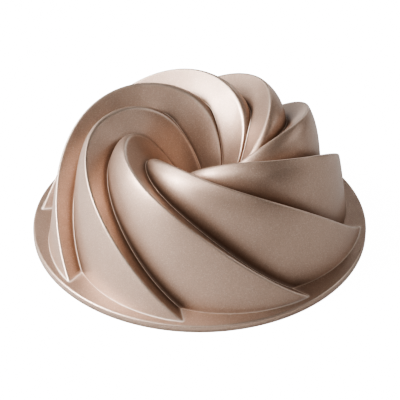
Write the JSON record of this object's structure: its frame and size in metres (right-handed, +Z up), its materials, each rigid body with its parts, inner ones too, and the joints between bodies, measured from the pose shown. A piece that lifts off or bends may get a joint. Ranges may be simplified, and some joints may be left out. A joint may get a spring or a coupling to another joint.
{
  "type": "bundt pan",
  "caption": "Swirl-fluted ring cake pan: a cast aluminium body with a flat flange and an open centre tube, a metallic outer coat and a dark non-stick lining.",
  "frame": {"origin": "centre of the flange's flat resting face, on the pan's axis", "axes": "+Z up along the pan's axis from the resting face to the crown, as the empty pan stands upside down on its flange; +X and +Y in the resting plane, +Y away from a viewer in front"},
  "size_m": [0.26, 0.26, 0.0956],
  "materials": {
    "cast_metal": "bare die-cast aluminium, seen only at the tube's cut end",
    "champagne_coat": "satin metallic champagne bronze with a fine pebbled grain",
    "nonstick": "satin dark non-stick with a faint fleck"
  },
  "bodies": {
    "root": {"cast_body": "cast_metal", "exterior_coat": "champagne_coat", "nonstick_lining": "nonstick"}
  },
  "joints": []
}
